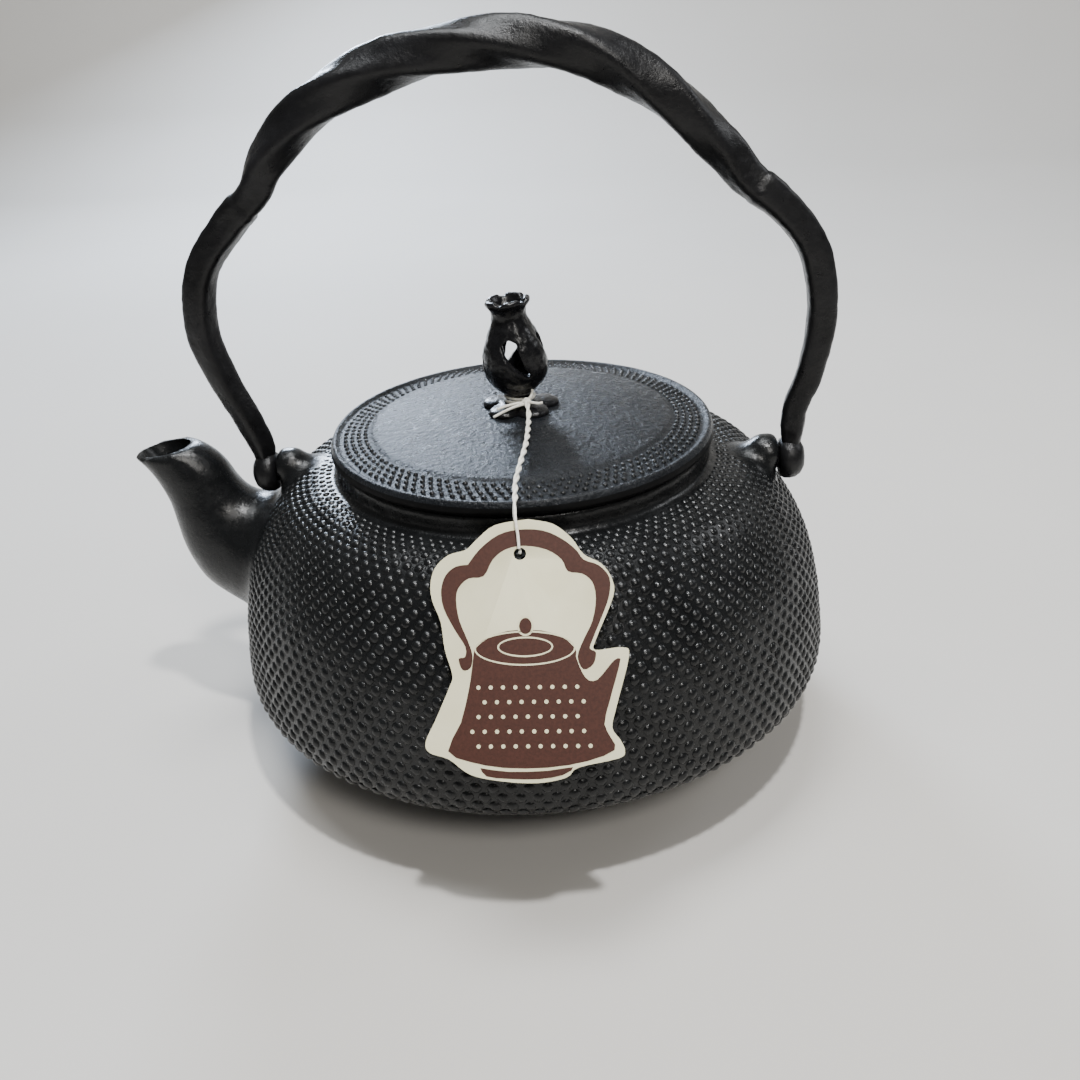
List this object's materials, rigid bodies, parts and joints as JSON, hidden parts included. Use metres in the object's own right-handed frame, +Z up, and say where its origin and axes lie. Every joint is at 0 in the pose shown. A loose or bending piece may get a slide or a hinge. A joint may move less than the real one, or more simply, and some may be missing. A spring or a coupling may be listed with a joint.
{
  "type": "cast iron kettle",
  "caption": "Round hobnailed iron kettle with an S-shaped spout, twisted bail handle, lift-off lid with an openwork knob, and a card tag on a string.",
  "frame": {"origin": "centre of the flat base the kettle stands on", "axes": "+Z up, spout towards -X, handle plane is XZ, tag on the -Y side"},
  "size_m": [0.2048, 0.1854, 0.2026],
  "materials": {
    "iron": "black lacquered casting",
    "iron_handle": "black lacquered, hammered",
    "string": "twisted string",
    "card": "printed card"
  },
  "bodies": {
    "kettle": {"body": "iron", "spout": "iron"},
    "lid_set": {"lid": "iron", "knob_seat": "iron", "knob": "iron", "knob_rivet": "iron", "rivet_washer": "iron", "string": "string", "string_tie": "string"},
    "bail": {"handle": "iron_handle"},
    "hang_tag": {"tag": "card"}
  },
  "joints": [
    {"name": "bail_swing", "type": "hinge", "parent": "kettle", "child": "bail", "pos_m": [0, 0, 0.0825], "axis": [1, 0, 0], "range_deg": [-90, 90]},
    {"name": "lid_lift", "type": "slide", "parent": "kettle", "child": "lid_set", "axis": [0, 0, 1], "range_m": [0, 0.045]},
    {"name": "tag_swing", "type": "hinge", "parent": "lid_set", "child": "hang_tag", "pos_m": [0.004, -0.0661, 0.0884], "axis": [1, 0, 0], "range_deg": [-20, 0]}
  ]
}
